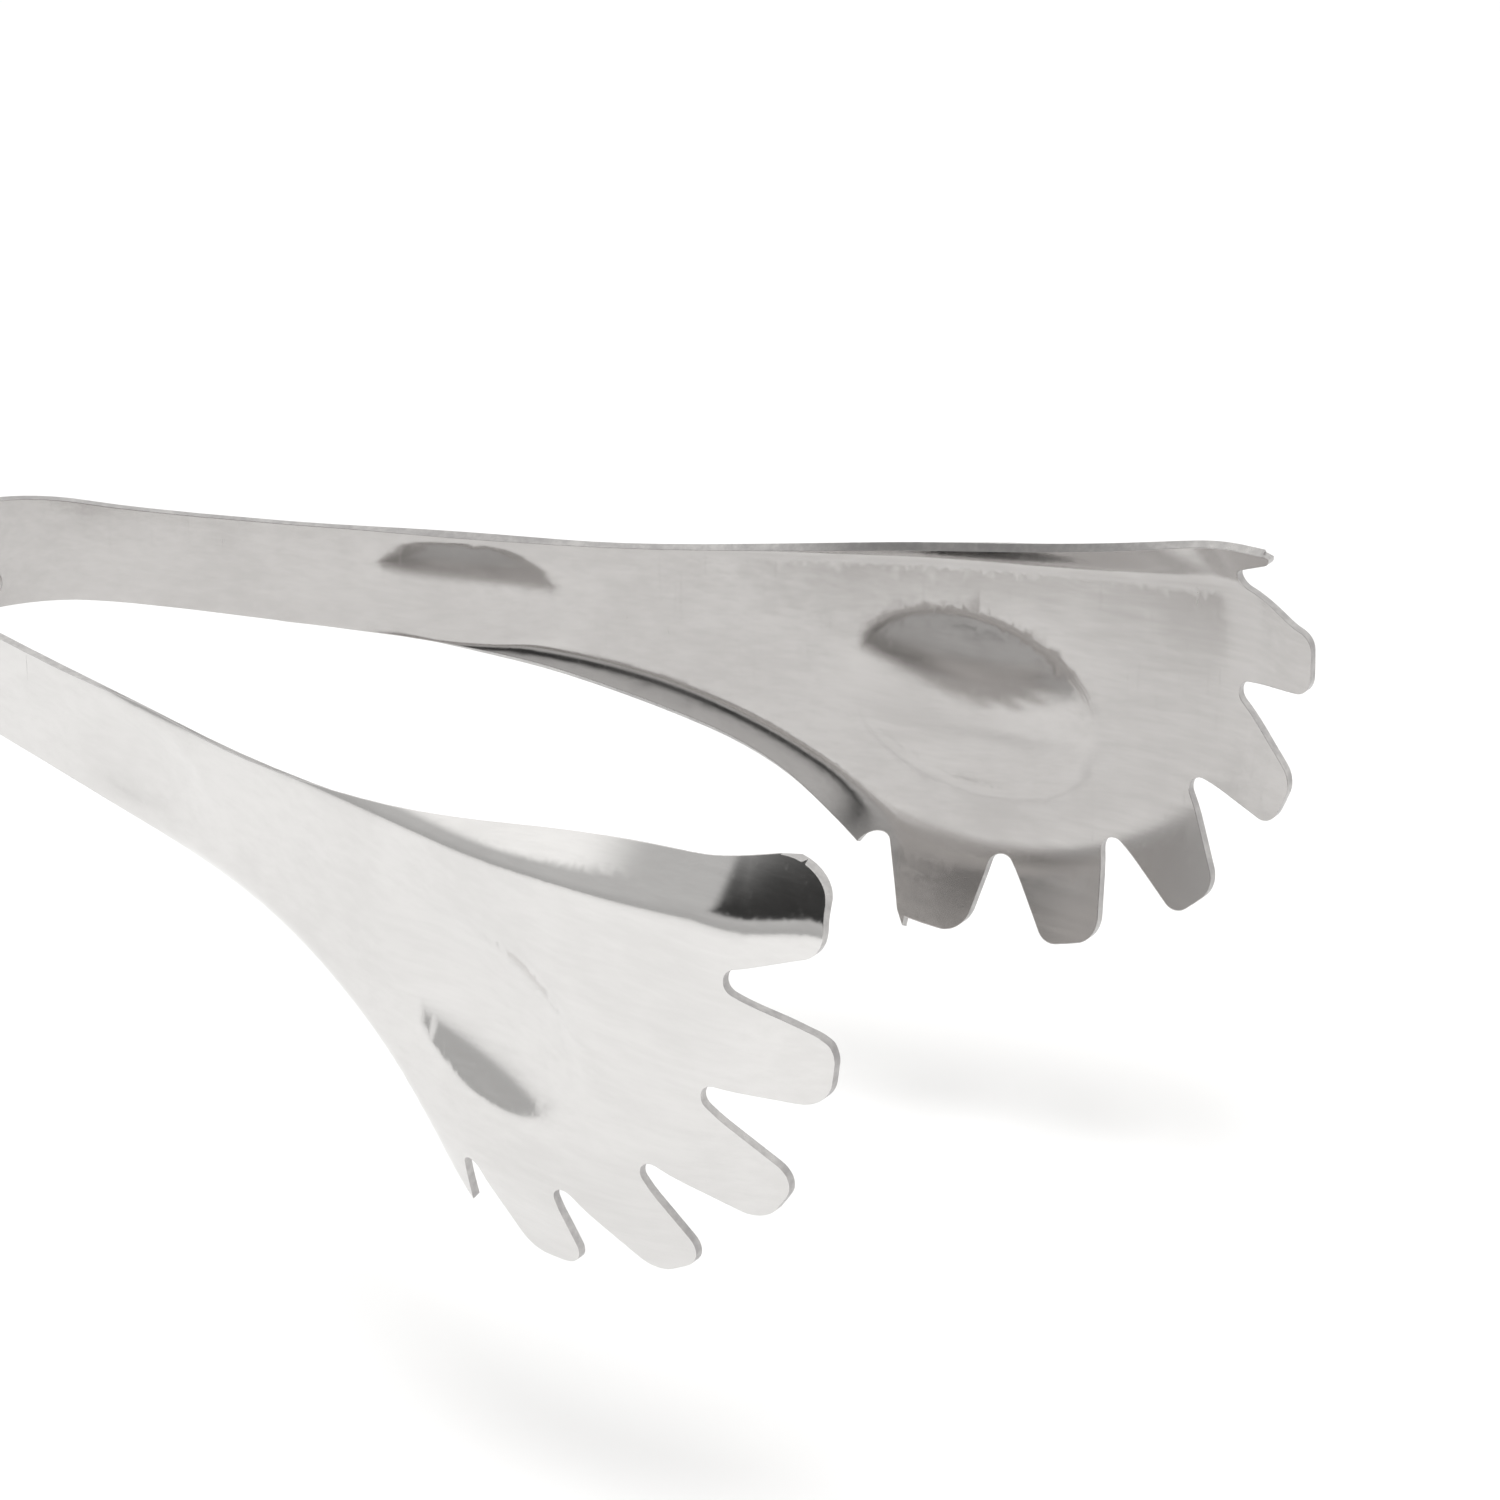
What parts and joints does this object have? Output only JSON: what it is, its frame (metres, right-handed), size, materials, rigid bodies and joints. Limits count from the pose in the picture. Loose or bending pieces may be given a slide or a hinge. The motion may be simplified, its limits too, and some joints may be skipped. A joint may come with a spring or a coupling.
{
  "type": "serving tongs",
  "caption": "Sprung serving tongs: two pressed steel arms with wide, fingered, dimpled jaws that mesh as they close, joined by a riveted spring leaf.",
  "frame": {"origin": "middle of the underside of the box round the open tongs", "axes": "+X from the spring end to the jaws, +Z across the width of the strip, parallel to the axis the arms turn about, +Y from the near arm to the far arm"},
  "size_m": [0.1572, 0.1066, 0.0553],
  "materials": {
    "sheet": "polished stainless sheet",
    "spring": "polished stainless spring strip",
    "rivet": "polished stainless"
  },
  "bodies": {
    "spring": {"spring_leaf": "spring"},
    "near": {"near_arm": "sheet", "near_rivets": "rivet"},
    "far": {"far_arm": "sheet", "far_rivets": "rivet"}
  },
  "joints": [
    {"name": "near_arm_squeeze", "type": "hinge", "parent": "spring", "child": "near", "pos_m": [-0.0782, 0, 0.0353], "axis": [0, 0, 1], "range_deg": [0, 16.4], "stiffness_Nm_per_rad": 1.6, "deforming": ["spring_leaf"]},
    {"name": "far_arm_squeeze", "type": "hinge", "parent": "spring", "child": "far", "pos_m": [-0.0782, 0, 0.0353], "axis": [0, 0, 1], "range_deg": [-16.4, 0], "stiffness_Nm_per_rad": 1.6, "deforming": ["spring_leaf"]}
  ],
  "couplings": [
    {"joint": "far_arm_squeeze", "follows": "near_arm_squeeze", "ratio": -1}
  ]
}
